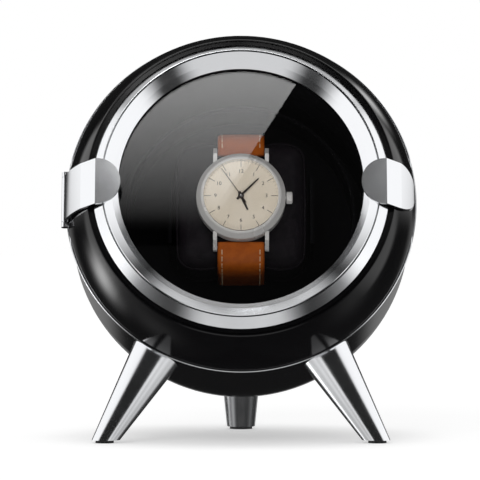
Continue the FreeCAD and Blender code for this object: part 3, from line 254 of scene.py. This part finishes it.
MATERIALS = {
    "black": piano_black(),
    "satin": satin_black("satin_black", (0.004, 0.0038, 0.0045), 0.6, 0.15),
    "moulded": satin_black("moulded_black", (0.015, 0.015, 0.016), 0.5, 0.4),
    "ring": chrome("ring_chrome", 0.10, 0.16),
    "band": chrome("band_chrome", 0.08, 0.13),
    "leg": chrome("leg_chrome", 0.13, 0.19),
    "trim": chrome("trim_chrome", 0.07, 0.12),
    "steel": steel("brushed_steel"),
    "watch_steel": chrome("watch_steel", 0.2, 0.3, (0.80, 0.78, 0.76), 0.35),
    "aluminium": steel("turned_aluminium", (0.72, 0.72, 0.74), 0.2, 0.32),
    "rubber": rubber(),
    "glass": clear_glass("door_float_glass"),
    "crystal": clear_glass("watch_crystal_glass", (0.99, 0.99, 0.985)),
    "tan": leather("tan_leather", (0.40, 0.088, 0.004), (0.32, 0.066, 0.003), 1.6),
    "padding": leather("padding_leather", (0.011, 0.0085, 0.011), (0.007, 0.0055, 0.0075), 1.3),
    "thread": sewing_thread(),
    "dial": cream_paint(),
    "ink": mottled("dark_ink", (0.035, 0.026, 0.024), 0.4, scale=2.0, low=0.34, high=0.48),
    "board": mottled("green_board", (0.01, 0.09, 0.035), 0.35, scale=0.5, low=0.28, high=0.42),
    "brass": mottled("cut_brass", (0.68, 0.48, 0.2), 0.25, scale=1.5, low=0.18, high=0.34,
                     metallic=1.0),
    "acetal": mottled("acetal", (0.72, 0.70, 0.64), 0.4, scale=0.7, low=0.34, high=0.48),
}

FINISH = {
    "black": "front_bezel rear_shell",
    "satin": "chamber_liner rotor_drum cushion_holder",
    "moulded": "rotor_deck rear_cover power_socket mode_selector rocker_housing mode_knob"
               " direction_rocker",
    "ring": "door_ring glass_bezel",
    "band": "hinge_strap pull_strap hinge_bracket hinge_pin",
    "leg": "leg_left leg_right leg_rear",
    "trim": "trim_ring",
    "steel": "post_screws cover_screws front_bearing rear_bearing gearbox motor motor_clamps"
             " motor_screws latch_magnet leg_bolts strap_screws latch_plate rotor_shaft"
             " shaft_clip spring_bars watch_movement",
    "watch_steel": "watch_case watch_back watch_crown strap_buckle",
    "aluminium": "front_posts rear_standoffs",
    "rubber": "door_seal glass_gasket foot_pads",
    "glass": "door_glass",
    "crystal": "watch_crystal",
    "dial": "watch_dial",
    "ink": "hour_hand minute_hand second_hand",
    "board": "control_board",
    "brass": "motor_pinion",
    "acetal": "drive_wheel",
    "tan": "strap_upper strap_lower strap_keeper",
    "padding": "watch_cushion",
}


def paint_on(obj, key):
    obj.data.materials.clear()
    obj.data.materials.append(MATERIALS[key])


for key, names in FINISH.items():
    for name in names.split():
        paint_on(nodes[name], key)

# The lamps shine through the clear panes onto what lies behind them.
for name in ("door_glass", "watch_crystal"):
    nodes[name].visible_shadow = False
    nodes[name].visible_diffuse = False


# ---------------------------------------------------------------- trim ring lip

TRIM_EDGE = 75.1
TRIM_FRONT = 1.1
LIP_RADIUS = 0.5
LIP_SINK = 0.8
LIP_STEPS, LIP_SIDES = 360, 10
SUNK_TO, FREE_FROM = 10, 16  # degrees from the middle of a strap


def build_trim_lip():
    """Rolled lip on the trim ring's front edge, sunk where the door straps pass over it."""
    bm = bmesh.new()
    rings = []
    for step in range(LIP_STEPS):
        turn = 2 * math.pi * step / LIP_STEPS
        spoke = Vector((math.cos(turn), math.sin(turn), 0))
        from_strap = math.degrees(math.asin(abs(math.sin(turn))))
        middle = TRIM_EDGE - LIP_SINK * (1 - rise(from_strap, SUNK_TO, FREE_FROM))
        centre = spoke * middle + FORWARD * TRIM_FRONT
        rings.append(circle(bm, centre, spoke, FORWARD, LIP_RADIUS, LIP_SIDES))
    bridge_rings(bm, rings, closed=True)
    lip = mesh_object("trim_lip", bm)
    paint_on(lip, "trim")
    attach(lip, "housing")


build_trim_lip()


# ---------------------------------------------------------------- watch strap

STRAP_HALF = 10.0
STRAP_SKIN = 1.0
STRAP_STEPS, STRAP_COLUMNS = 120, 16
EDGE_FROM, EDGE_DROP = 0.86, 0.55
SWELL, SWELL_AT, SWELL_SPREAD = 0.28, 8, 14
SEAM, SEAM_DEPTH, SEAM_SPREAD = 8.1, 0.12, 0.4
STITCH_LENGTH, STITCH_PITCH = 1.75, 2.7
STITCH_RADIUS, STITCH_RISE = 0.24, 0.98
STITCH_FROM, STITCH_END_GAP = 3.4, 2
ROD_SIDES = 8


def spline_points(controls, count):
    """Points along a clamped cubic B-spline through the end controls, with their tangents."""
    curve = bpy.data.curves.new("path", "CURVE")
    curve.dimensions = "3D"
    spline = curve.splines.new("NURBS")
    spline.points.add(len(controls) - 1)
    for point, (y, z) in zip(spline.points, controls):
        point.co = (0, y, z, 1)
    spline.order_u = 4
    spline.use_endpoint_u = True
    spline.resolution_u = 24
    holder = new_object("path", curve)
    bpy.context.view_layer.update()
    mesh = final_mesh(holder)
    raw = [vertex.co.copy() for vertex in mesh.vertices]
    bpy.data.meshes.remove(mesh)
    bpy.data.objects.remove(holder)
    bpy.data.curves.remove(curve)
    lengths = [0.0]
    for a, b in zip(raw, raw[1:]):
        lengths.append(lengths[-1] + (b - a).length)
    points = []
    index = 0
    for step in range(count):
        target = lengths[-1] * step / (count - 1)
        while index < len(raw) - 2 and lengths[index + 1] < target:
            index += 1
        span = max(lengths[index + 1] - lengths[index], 1e-9)
        share = min(max((target - lengths[index]) / span, 0), 1)
        points.append(raw[index].lerp(raw[index + 1], share))
    tangents = []
    for step in range(count):
        a = points[max(step - 1, 0)]
        b = points[min(step + 1, count - 1)]
        tangents.append((b - a).normalized())
    return points, tangents, lengths[-1]


def strap_controls(side, rear_shift, rear_end):
    """Middle line of one strap half in (up, forward), from its spring bar round the cushion."""
    front = [(19.4, 4.9), (22.2, 4.8), (25.6, 4.1), (28.8, 2.4), (30.4, -2.5), (30.2, -9.0),
             (29.4, -18.0)]
    flat = -30.35 - rear_shift
    rear = [(29.0, -25.5 - rear_shift * 0.6), (26.0, -30.0 - rear_shift), (19.5, flat),
            (8.0, flat), (rear_end, flat)]
    return [(side * y, z) for y, z in front + rear]


def outward(tangent, side):
    """Direction away from the cushion, square to the strap's path."""
    return Vector((0, -tangent.z, tangent.y)) * side


def build_strap(name, node, side, rear_shift, rear_end):
    controls = strap_controls(side, rear_shift, rear_end)
    points, tangents, length = spline_points(controls, STRAP_STEPS)
    bm = bmesh.new()
    rings = []
    for step, (point, tangent) in enumerate(zip(points, tangents)):
        normal = outward(tangent, side)
        along = step / (STRAP_STEPS - 1) * length
        swell = SWELL * math.exp(-((along - SWELL_AT) / SWELL_SPREAD) ** 2)
        ring = []
        for face in (1, -1):
            for column in range(STRAP_COLUMNS + 1):
                share = column / STRAP_COLUMNS * 2 - 1
                across = share * STRAP_HALF * face
                edge = max(0.0, abs(share) - EDGE_FROM) / (1 - EDGE_FROM)
                offset = face * (STRAP_SKIN - EDGE_DROP * edge ** 2)
                if face > 0:
                    from_seam = (abs(across) - SEAM) / SEAM_SPREAD
                    offset += swell * (1 - share * share)
                    offset -= SEAM_DEPTH * math.exp(-from_seam ** 2)
                ring.append(bm.verts.new(point + Vector((across, 0, 0)) + normal * offset))
        rings.append(ring)
    bridge_rings(bm, rings)
    bm.faces.new(rings[0])
    bm.faces.new(rings[-1])
    strap = mesh_object(name, bm)
    paint_on(strap, "tan")
    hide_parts(node)
    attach(strap, "cushion")
    return points, tangents, length


def add_rod(bm, start, end, radius):
    """Short rod with rounded ends."""
    axis = (end - start).normalized()
    first = axis.orthogonal().normalized()
    second = axis.cross(first)
    rings = []
    for share, scale in ((-0.5, 0.5), (0.0, 1.0), (1.0, 1.0), (1.5, 0.5)):
        if share < 0:
            centre = start + axis * radius * share
        elif share > 1:
            centre = end + axis * radius * 0.5
        else:
            centre = start.lerp(end, share)
        rings.append(circle(bm, centre, first, second, radius * scale, ROD_SIDES))
    bridge_rings(bm, rings)
    bm.faces.new(rings[0])
    bm.faces.new(rings[-1])


def build_stitching(name, side, points, tangents, length):
    """Two rows of stitches along one strap half."""
    bm = bmesh.new()
    spans = len(points) - 1
    offset = STITCH_FROM
    while offset + STITCH_LENGTH < length - STITCH_END_GAP:
        ends = []
        for distance in (offset, offset + STITCH_LENGTH):
            place = distance / length * spans
            index = min(int(place), spans - 1)
            point = points[index].lerp(points[index + 1], place - index)
            ends.append(point + outward(tangents[index], side) * STITCH_RISE)
        for across in (-SEAM, SEAM):
            shift = Vector((across, 0, 0))
            add_rod(bm, ends[0] + shift, ends[1] + shift, STITCH_RADIUS)
        offset += STITCH_PITCH
    stitches = mesh_object(name, bm)
    paint_on(stitches, "thread")
    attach(stitches, "cushion")


# The lower half lies behind the upper one where the two overlap at the back.
for name, side, rear_shift, rear_end in (("upper", 1, 0.0, -4.0), ("lower", -1, 2.3, -12.0)):
    path = build_strap(f"strap_{name}_leather", f"strap_{name}", side, rear_shift, rear_end)
    build_stitching(f"strap_{name}_stitching", side, *path)


# ---------------------------------------------------------------- cushion

WIDE, TALL, FRONT, REAR = 28.6, 29.6, 1.0, -30.6
START_INSET, CORNER_BEVEL = 0.9, 7.5
VOXEL = 2.6
MOST_SWELL = 1.6
SIDE_LIMIT, END_LIMIT, FRONT_LIMIT, REAR_LIMIT = 29.2, 30.6, 1.55, -30.9
POCKET_SIDE, POCKET_END, POCKET_FLOOR = 12.4, 10.8, -27.8
CHANNEL_CORNER = 8.4
CHANNEL_END, CHANNEL_FRONT, CHANNEL_REAR = 27.7, 0.1, -29.0
PRESSED_TO, LOOSE_FROM = 10.5, 13.1
SLOPE_STEP = 0.2
CLOTH_FRAMES = 20
WELT_LEVELS = (-5.6, -24.4)
WELT_RADIUS = 0.5
WELT_STEPS = 220
WELT_SQUARENESS = 0.36


def channel_depth(y, z):
    """How far a point lies outside the strap's inner path (positive outside)."""
    centre_z = (CHANNEL_FRONT + CHANNEL_REAR) / 2
    half_z = (CHANNEL_FRONT - CHANNEL_REAR) / 2
    away_y = abs(y) - (CHANNEL_END - CHANNEL_CORNER)
    away_z = abs(z - centre_z) - (half_z - CHANNEL_CORNER)
    if away_y <= 0 or away_z <= 0:
        return max(away_y, away_z) - CHANNEL_CORNER
    return math.hypot(away_y, away_z) - CHANNEL_CORNER


def press_channel(point):
    """Pushes a cushion point in where the strap lies on it."""
    grip = 1 - rise(abs(point.x), PRESSED_TO, LOOSE_FROM)
    depth = channel_depth(point.y, point.z)
    if grip <= 0 or depth <= 0:
        return
    y, z, step = point.y, point.z, SLOPE_STEP
    slope = Vector((0, channel_depth(y + step, z) - channel_depth(y - step, z),
                    channel_depth(y, z + step) - channel_depth(y, z - step)))
    point -= slope.normalized() * depth * grip


def build_cushion():
    """Rounded pad, puffed by cloth pressure, then pressed in where other parts lie on it."""
    bm = bmesh.new()
    bmesh.ops.create_cube(bm, size=2)
    depth = (FRONT - REAR) / 2
    for vert in bm.verts:
        vert.co = Vector((vert.co.x * (WIDE - START_INSET), vert.co.y * (TALL - START_INSET),
                          (FRONT + REAR) / 2 + vert.co.z * (depth - START_INSET)))
    bmesh.ops.bevel(bm, geom=bm.edges[:], offset=CORNER_BEVEL, segments=5, profile=0.5,
                    affect="EDGES")
    cushion = mesh_object("cushion_pad", bm)
    remesh = cushion.modifiers.new("remesh", "REMESH")
    remesh.mode = "VOXEL"
    remesh.voxel_size = VOXEL * MM
    apply_modifiers(cushion)
    rest = [vertex.co.copy() for vertex in cushion.data.vertices]
    cloth = cushion.modifiers.new("cloth", "CLOTH")
    cloth.settings.use_pressure = True
    cloth.settings.uniform_pressure_force = 4
    cloth.settings.quality = 6
    cloth.settings.mass = 0.2
    cloth.settings.tension_stiffness = 20
    cloth.settings.compression_stiffness = 20
    cloth.settings.bending_stiffness = 1.0
    cloth.settings.effector_weights.gravity = 0
    cloth.point_cache.frame_start = 1
    cloth.point_cache.frame_end = CLOTH_FRAMES
    scene = bpy.context.scene
    for step in range(1, CLOTH_FRAMES + 1):
        scene.frame_set(step)
    apply_modifiers(cushion)
    scene.frame_set(1)
    back = CASE.inverted()
    for vertex, start in zip(cushion.data.vertices, rest):
        moved = vertex.co - start
        if moved.length > MOST_SWELL * MM:
            moved = moved.normalized() * MOST_SWELL * MM
        local = (back @ (start + moved)) / MM
        local.x = max(-SIDE_LIMIT, min(SIDE_LIMIT, local.x))
        local.y = max(-END_LIMIT, min(END_LIMIT, local.y))
        local.z = max(REAR_LIMIT, min(FRONT_LIMIT, local.z))
        press_channel(local)
        if abs(local.x) < POCKET_SIDE and abs(local.y) < POCKET_END:
            local.z = max(local.z, POCKET_FLOOR)
        vertex.co = CASE @ (local * MM)
    smooth = cushion.modifiers.new("smooth", "SUBSURF")
    smooth.levels = 1
    smooth.render_levels = 1
    apply_modifiers(cushion)
    for face in cushion.data.polygons:
        face.use_smooth = True
    paint_on(cushion, "padding")
    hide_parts("watch_cushion")
    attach(cushion, "cushion")
    return cushion


def build_piping(cushion):
    """Thin welts sewn round the front and back panels of the cushion."""
    tree = BVHTree.FromObject(cushion, bpy.context.evaluated_depsgraph_get())
    reach, aim = 40, 0.35
    bm = bmesh.new()
    for level in WELT_LEVELS:
        path = []
        for step in range(WELT_STEPS):
            angle = 2 * math.pi * step / WELT_STEPS
            x, y = (math.copysign(abs(part) ** WELT_SQUARENESS, part) * reach
                    for part in (math.cos(angle), math.sin(angle)))
            start = CASE @ (Vector((x, y, level)) * MM)
            centre = CASE @ (Vector((x * aim, y * aim, level)) * MM)
            hit = tree.ray_cast(start, (centre - start).normalized())
            if hit[0] is not None:
                path.append((CASE.inverted() @ hit[0]) / MM)
        rings = []
        for index, point in enumerate(path):
            tangent = (path[(index + 1) % len(path)] - path[index - 1]).normalized()
            first = tangent.cross(FORWARD).normalized()
            rings.append(circle(bm, point, first, tangent.cross(first), WELT_RADIUS, ROD_SIDES))
        bridge_rings(bm, rings, closed=True)
    welts = mesh_object("cushion_welts", bm)
    paint_on(welts, "padding")
    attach(welts, "cushion")


pad = build_cushion()
build_piping(pad)


# ---------------------------------------------------------------- dial printing

DIAL = 9.4
MARK_EDGE = 15.9
HOUR_MARK = (12.9, 0.11, 0.05)  # inner radius, half width, height
MINUTE_MARK = (15.1, 0.05, 0.03)
INK_SINK = 0.01
NUMERAL_SIZE, NUMERAL_RING, NUMERAL_RISE = 2.3, 10.9, 0.03
BAR_FACES = ((0, 1, 2, 3), (4, 5, 6, 7), (0, 1, 5, 4), (1, 2, 6, 5), (2, 3, 7, 6), (3, 0, 4, 7))


def flat_bar(bm, inner, outer, half, angle, low, high):
    """Radial bar on the dial; angle is clockwise from twelve."""
    turn = Matrix.Rotation(-angle, 4, "Z")
    corners = []
    for z in (low, high):
        for x, y in ((-half, inner), (half, inner), (half, outer), (-half, outer)):
            corners.append(bm.verts.new(turn @ Vector((x, y, z))))
    for face in BAR_FACES:
        bm.faces.new([corners[i] for i in face])


def build_dial_marks():
    bm = bmesh.new()
    for minute in range(60):
        angle = 2 * math.pi * minute / 60
        inner, half, height = MINUTE_MARK if minute % 5 else HOUR_MARK
        flat_bar(bm, inner, MARK_EDGE, half, angle, DIAL - INK_SINK, DIAL + height)
    marks = mesh_object("dial_marks", bm, smooth=False)
    paint_on(marks, "ink")
    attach(marks, "cushion")


def build_numerals():
    bm = bmesh.new()
    for hour in range(1, 13):
        curve = bpy.data.curves.new("numeral", "FONT")
        curve.body = str(hour)
        curve.size = NUMERAL_SIZE
        curve.align_x = "CENTER"
        curve.align_y = "CENTER"
        curve.extrude = 0.02
        holder = new_object("numeral", curve)
        bpy.context.view_layer.update()
        shape = final_mesh(holder)
        angle = 2 * math.pi * hour / 12
        place = (math.sin(angle) * NUMERAL_RING, math.cos(angle) * NUMERAL_RING,
                 DIAL + NUMERAL_RISE)
        shape.transform(Matrix.Translation(place))
        bm.from_mesh(shape)
        bpy.data.meshes.remove(shape)
        bpy.data.objects.remove(holder)
        bpy.data.curves.remove(curve)
    numerals = mesh_object("dial_numerals", bm, smooth=False)
    paint_on(numerals, "ink")
    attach(numerals, "cushion")


build_dial_marks()
build_numerals()


# ---------------------------------------------------------------- studio

CAMERA_PLACE = Vector((0, -1.5322, 0.096))
CAMERA_DIP = math.radians(0.38)
SENSOR, LENS = 36.0, 261.9
PICTURE_SIDE = 480

AMBIENT = 0.02
SPOTS = [  # azimuth, elevation and spread in degrees, then strength
    (-114, -22, 8, 6.8),
    (149, 25, 5, 3.0),
    (-98, -34, 12, 0.35),
    (98, -34, 12, 0.35),
    (-106, -52, 10, 0.3),
]

GLASS_FRONT = 23.3
TAB_FRONT = 31.4
TAB_INNER, TAB_OUTER, TAB_REACH = 52.4, 82, 26
CARD_REACH = 900.0

FLOOR_HALF = 7
BACKDROP_RADIUS = 8


def glow_material(name, strength):
    """Emission that follows the mesh's own glow attribute."""
    mat = bpy.data.materials.new(name)
    mat.use_nodes = True
    tree = mat.node_tree
    tree.nodes.clear()
    source = tree.nodes.new("ShaderNodeAttribute")
    source.attribute_name = "glow"
    scale = tree.nodes.new("ShaderNodeMath")
    scale.operation = "MULTIPLY"
    scale.inputs[1].default_value = strength
    light = tree.nodes.new("ShaderNodeEmission")
    out = tree.nodes.new("ShaderNodeOutputMaterial")
    tree.links.new(source.outputs["Fac"], scale.inputs[0])
    tree.links.new(scale.outputs["Value"], light.inputs["Strength"])
    tree.links.new(light.outputs["Emission"], out.inputs["Surface"])
    return mat


def reflector(name, verts, faces, glow, strength=1.0):
    """Glowing stage piece seen only in reflections."""
    mesh = bpy.data.meshes.new(name)
    mesh.from_pydata([tuple(vert) for vert in verts], [], faces)
    values = mesh.attributes.new("glow", "FLOAT", "POINT")
    for slot, amount in zip(values.data, glow):
        slot.value = amount
    for face in mesh.polygons:
        face.use_smooth = True
    card = new_object(name, mesh)
    mesh.materials.append(glow_material(name, strength))
    mesh.materials[0].cycles.emission_sampling = "NONE"
    card.visible_camera = False
    card.visible_diffuse = False
    card.visible_shadow = False


def side_panel(x, y, z):
    """Tall soft box standing beside the object."""
    side = max(abs(x), 1e-4)
    along, up = y / side, z / side
    front_edge = -0.95 - 0.75 * rise(-up, -0.75, 0.1)
    back_edge = 1.17 + 0.4 * (1 - rise(up, 0.02, 0.18))
    lit = rise(along, front_edge - 0.3, front_edge + 0.3)
    lit *= 1 - rise(along, back_edge - 0.12, back_edge + 0.12)
    foot = 0.52 - 0.14 * rise(-along, 0.5, 1.0) - 0.6 * rise(along, 0.35, 0.55)
    lit *= 1 - 0.985 * rise(-up, foot - 0.17, foot + 0.2)
    return 1.1 * lit * (1 - rise(up, 0.6, 1.5))


def roof_strip(x, y, z):
    """Overhead panel running back over the object, wider at the back."""
    if z <= 0.02:
        return 0.0
    across, along = abs(x / z), y / z
    back = rise(along, 0.4, 1.1)
    edge = 0.5 + 0.55 * back
    lit = (0.68 - 0.2 * back) * (1 - rise(across, edge - 0.14, edge + 0.18))
    return lit * rise(along, -0.15, 0.15) * (1 - rise(along, 1.52, 1.75))


def front_floor(x, y, z):
    """Lit floor between the object and the camera, with a painted shadow straight below the object.
    """
    if z >= -0.02:
        return 0.0
    across, along = abs(x / z), y / z
    edge = 0.42 + 0.36 * min(along, 2.0)
    # Painted shadow: straight below the object the reflected floor stays dark, standing in for the
    # floor in the object's shade.
    lit = 0.72 * rise(along, 0.17, 0.26) * (1 - rise(across, edge - 0.2, edge + 0.25))
    return lit * (1 - rise(along, 2.0, 3.2))


def low_back(x, y, z):
    """Grazing light off the floor behind the object."""
    return 0.3 * rise(y, 0.72, 0.9) * rise(-z, -0.02, 0.06) * (1 - rise(-z, 0.18, 0.3))


def spot(direction, azimuth, elevation, spread, strength):
    """Small soft lamp; azimuth 0 looks at the camera and grows to the right."""
    azimuth, elevation = math.radians(azimuth), math.radians(elevation)
    aim = Vector((math.sin(azimuth) * math.cos(elevation), -math.cos(azimuth) * math.cos(elevation),
                  math.sin(elevation)))
    gap = math.degrees(direction.angle(aim))
    return strength * math.exp(-(gap / spread) ** 2)


def studio_glow(direction):
    """Brightness that a reflection sees in one direction."""
    x, y, z = direction
    panels = side_panel(x, y, z) + roof_strip(x, y, z) + front_floor(x, y, z) + low_back(x, y, z)
    return AMBIENT + panels + sum(spot(direction, *lamp) for lamp in SPOTS)


def studio_dome():
    """Sphere round the object that carries the whole studio's glow."""
    radius, columns, rows = 6.0, 240, 120
    centre = Vector((0, 0, 0.1))
    verts, faces, glow = [], [], []
    for row in range(rows + 1):
        polar = math.pi * row / rows
        for column in range(columns):
            turn = 2 * math.pi * column / columns
            direction = Vector((math.sin(polar) * math.cos(turn), math.sin(polar) * math.sin(turn),
                                math.cos(polar)))
            verts.append(direction * radius + centre)
            glow.append(studio_glow(direction))
    for row in range(rows):
        for column in range(columns):
            a = row * columns + column
            b = row * columns + (column + 1) % columns
            faces.append((a, b, b + columns, a + columns))
    reflector("studio_dome", verts, faces, glow)


def card_spot(x, y, level):
    """Place that the camera sees mirrored at (x, y) of a level in the case frame."""
    eye = CASE.inverted() @ CAMERA_PLACE / MM
    behind = Vector((eye.x, eye.y, 2 * level - eye.z))
    at = Vector((x, y, level))
    return CASE @ ((at + (at - behind) * CARD_REACH / (eye.z - level)) * MM)


def glass_reflection():
    """Soft box above the camera whose mirror image fills the upper left of the door glass."""
    rows, columns = 24, 2
    left, top, bottom = -51.5, 56.0, -26.0
    edge_top, edge_low = (23.48, 45.89), (3.39, 13.56)
    dark_below, fade_span, fade_power = -17, 70.8, 1.12
    slope = (edge_top[0] - edge_low[0]) / (edge_top[1] - edge_low[1])
    verts, faces, glow = [], [], []
    for row in range(rows + 1):
        y = top + (bottom - top) * row / rows
        right = edge_low[0] + (y - edge_low[1]) * slope
        for x in (left, right):
            verts.append(card_spot(x, y, GLASS_FRONT))
            glow.append(max(0.0, (y - dark_below) / fade_span) ** fade_power)
        if row:
            first = columns * (row - 1)
            faces.append((first, first + 1, first + 3, first + 2))
    reflector("glass_card", verts, faces, glow, 4.2)


def tab_reflections():
    """Two small grey cards mirrored by the strap tabs."""
    for side, glow in ((-1, 0.19), (1, 0.34)):
        corners = [(TAB_INNER, -TAB_REACH), (TAB_OUTER, -TAB_REACH), (TAB_OUTER, TAB_REACH),
                   (TAB_INNER, TAB_REACH)]
        verts = [card_spot(side * x, y, TAB_FRONT) for x, y in corners]
        reflector(f"tab_card_{side + 1}", verts, [(0, 1, 2, 3)], (glow,) * 4)


def area_light(name, place, target, width, height, radiance):
    """Soft lamp that lights the object but is never seen in it."""
    light = bpy.data.lights.new(name, "AREA")
    light.shape = "RECTANGLE"
    light.size = width
    light.size_y = height
    light.energy = radiance * math.pi * width * height
    lamp = new_object(name, light)
    lamp.location = place
    lamp.rotation_euler = (Vector(target) - Vector(place)).to_track_quat("-Z", "Y").to_euler()
    lamp.visible_camera = False
    lamp.visible_glossy = False
    lamp.visible_transmission = False


def build_floor():
    """Pale floor whose glow carries painted shade and a painted contact shadow near the object, and
    meets the backdrop without an edge.
    """
    half = FLOOR_HALF
    corners = [(-half, -half, 0), (half, -half, 0), (half, half, 0), (-half, half, 0)]
    mesh = bpy.data.meshes.new("floor")
    mesh.from_pydata(corners, [], [(0, 1, 2, 3)])
    floor = new_object("floor", mesh)
    mat, shader = material("floor_white", (0.5, 0.5, 0.5), 0.6, specular=0.0)
    shader.inputs["Emission Color"].default_value = (1, 1, 1, 1)
    tree = mat.node_tree
    place = tree.nodes.new("ShaderNodeTexCoord")
    reach = tree.nodes.new("ShaderNodeVectorMath")
    reach.operation = "LENGTH"
    tree.links.new(place.outputs["Object"], reach.inputs[0])
    # Painted shade: the floor's glow is lower close to the object.
    glow = remap(mat, reach.outputs["Value"], low=0.2, high=1.2, target_low=0.84,
                 target_high=1.0)
    # Painted contact shadow: the glow is dimmed further where ambient occlusion finds the object
    # close above the floor.
    shade = tree.nodes.new("ShaderNodeAmbientOcclusion")
    shade.inputs["Distance"].default_value = 0.06
    painted_contact_shadow = remap(mat, shade.outputs["AO"], low=0.2, high=0.9, target_low=0.58,
                   target_high=1.0)
    shadow_dimmed_glow = tree.nodes.new("ShaderNodeMath")
    shadow_dimmed_glow.operation = "MULTIPLY"
    tree.links.new(glow, shadow_dimmed_glow.inputs[0])
    tree.links.new(painted_contact_shadow, shadow_dimmed_glow.inputs[1])
    tree.links.new(shadow_dimmed_glow.outputs["Value"], shader.inputs["Emission Strength"])
    mesh.materials.append(mat)
    floor.visible_glossy = False
    floor.visible_transmission = False


def build_backdrop():
    """White surround that only the camera sees."""
    bm = bmesh.new()
    bmesh.ops.create_uvsphere(bm, u_segments=48, v_segments=24, radius=BACKDROP_RADIUS)
    mesh = bpy.data.meshes.new("backdrop")
    bm.to_mesh(mesh)
    bm.free()
    glow = mesh.attributes.new("glow", "FLOAT", "POINT")
    for slot in glow.data:
        slot.value = 1.0
    backdrop = new_object("backdrop", mesh)
    mesh.materials.append(glow_material("backdrop", 1.0))
    backdrop.visible_glossy = False
    backdrop.visible_diffuse = False
    backdrop.visible_transmission = False
    backdrop.visible_shadow = False


def build_camera():
    data = bpy.data.cameras.new("camera")
    data.sensor_width = SENSOR
    data.lens = LENS
    data.shift_x = -1 / PICTURE_SIDE
    data.clip_start = 0.05
    data.clip_end = 50
    camera = new_object("camera", data)
    camera.location = CAMERA_PLACE
    camera.rotation_euler = (math.pi / 2 - CAMERA_DIP, 0, 0)
    bpy.context.scene.camera = camera


build_camera()
studio_dome()
glass_reflection()
tab_reflections()
build_floor()
build_backdrop()

world = bpy.data.worlds.new("studio")
world.use_nodes = True
world.node_tree.nodes["Background"].inputs["Color"].default_value = (0.02, 0.02, 0.021, 1)
bpy.context.scene.world = world

area_light("key", (-0.35, -1.1, 1.0), (0, -0.03, 0.1), width=0.7, height=0.7, radiance=3.0)
area_light("fill", (0.3, -1.35, 0.12), (0, -0.03, 0.1), width=0.6, height=0.6, radiance=3.2)
area_light("top", (0, 0.2, 1.5), (0, 0, 0.0), width=1.6, height=1.6, radiance=0.8)

bpy.context.scene.view_settings.view_transform = "Standard"
